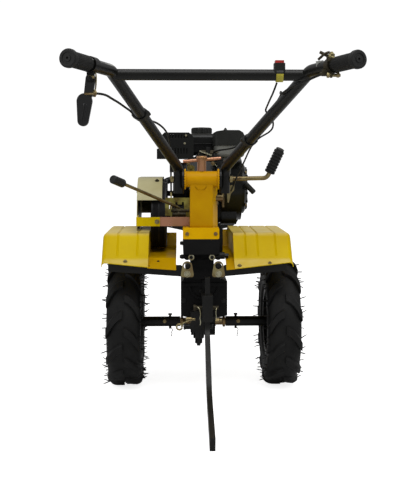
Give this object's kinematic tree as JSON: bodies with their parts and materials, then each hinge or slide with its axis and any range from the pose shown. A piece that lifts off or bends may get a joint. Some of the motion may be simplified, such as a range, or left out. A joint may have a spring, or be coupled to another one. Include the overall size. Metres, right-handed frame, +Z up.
{
  "type": "two-wheel hand tractor",
  "caption": "Walking hand tractor on two lugged tyres: gearbox, slanted engine, belt drive, yellow fenders and a handlebar that tilts at a toothed joint, parked on its depth bar.",
  "frame": {"origin": "on the floor, at the middle of the machine's outline seen from above", "axes": "+Y the way it drives, +X its right side, +Z up"},
  "size_m": [0.7084, 1.5749, 1.0128],
  "materials": {
    "black_casting": "satin black paint over a sand casting",
    "black_steel": "satin black powder coat",
    "black_sheet": "satin black paint on pressed sheet",
    "engine_alloy": "die-cast alloy painted black",
    "black_plastic": "moulded black plastic",
    "grey_plastic": "moulded grey plastic",
    "muffler_steel": "heat-proof black paint",
    "pulley_alloy": "machined cast alloy",
    "belt_rubber": "rubber belt",
    "cream_paint": "cream paint on pressed sheet",
    "zinc_gold": "yellow zinc plating",
    "yellow_paint": "gloss yellow paint on pressed sheet",
    "yellow_casting": "gloss yellow paint on a casting",
    "black_rubber": "moulded black rubber",
    "axle_steel": "yellow zinc plating",
    "tyre_rubber": "black tyre rubber"
  },
  "bodies": {
    "chassis": {"gearbox": "black_casting", "engine_rails": "black_steel", "front_bumper": "black_steel", "engine_block": "engine_alloy", "rocker_cover": "black_steel", "fan_shroud": "black_sheet", "recoil_cover": "black_sheet", "starter_grip": "black_plastic", "fuel_tank": "black_sheet", "fuel_cap": "black_plastic", "air_cleaner": "black_plastic", "air_cleaner_base": "grey_plastic", "muffler": "muffler_steel", "muffler_guard": "black_sheet", "engine_pulley": "pulley_alloy", "gearbox_pulley": "pulley_alloy", "drive_belts": "belt_rubber", "belt_tensioner": "zinc_gold", "tension_roller": "pulley_alloy", "belt_guard": "cream_paint", "guard_foot": "yellow_paint", "guard_strap": "zinc_gold", "fender_left": "yellow_paint", "fender_right": "yellow_paint", "fender_bar_left": "black_steel", "fender_bar_right": "black_steel", "fender_bracket_left": "zinc_gold", "fender_bracket_right": "zinc_gold", "handlebar_column": "yellow_casting", "clamp_screw": "zinc_gold", "shift_gate": "zinc_gold", "gear_lever": "zinc_gold", "gear_knob": "black_plastic", "side_lever": "zinc_gold", "side_lever_grip": "black_rubber", "hitch_bracket": "black_steel", "hitch_pin": "zinc_gold", "depth_bar": "black_steel", "clutch_cable": "black_rubber", "throttle_cable": "black_rubber", "stop_wire": "black_rubber"},
    "handlebar": {"handlebar_left": "black_steel", "handlebar_right": "black_steel", "crossbar": "black_steel", "pivot_bolt": "zinc_gold", "grip_left": "black_rubber", "grip_right": "black_rubber", "clutch_lever": "black_plastic", "clutch_bracket": "black_steel", "throttle_lever": "zinc_gold", "stop_switch": "black_plastic", "cable_clip_left": "black_plastic", "cable_clip_right": "black_plastic"},
    "axle_and_wheels": {"hex_axle": "axle_steel", "hub_pins": "zinc_gold", "rim_left": "black_steel", "rim_right": "black_steel", "tyre_left": "tyre_rubber", "tyre_right": "tyre_rubber"}
  },
  "joints": [
    {"name": "wheels_roll", "type": "hinge", "parent": "chassis", "child": "axle_and_wheels", "pos_m": [0, 0.18, 0.2075], "axis": [-1, 0, 0], "continuous": true},
    {"name": "handlebar_height", "type": "hinge", "parent": "chassis", "child": "handlebar", "pos_m": [-0.01, -0.055, 0.689], "axis": [-1, 0, 0], "range_deg": [-15, 20], "deforming": ["clutch_cable", "throttle_cable", "stop_wire"]}
  ]
}
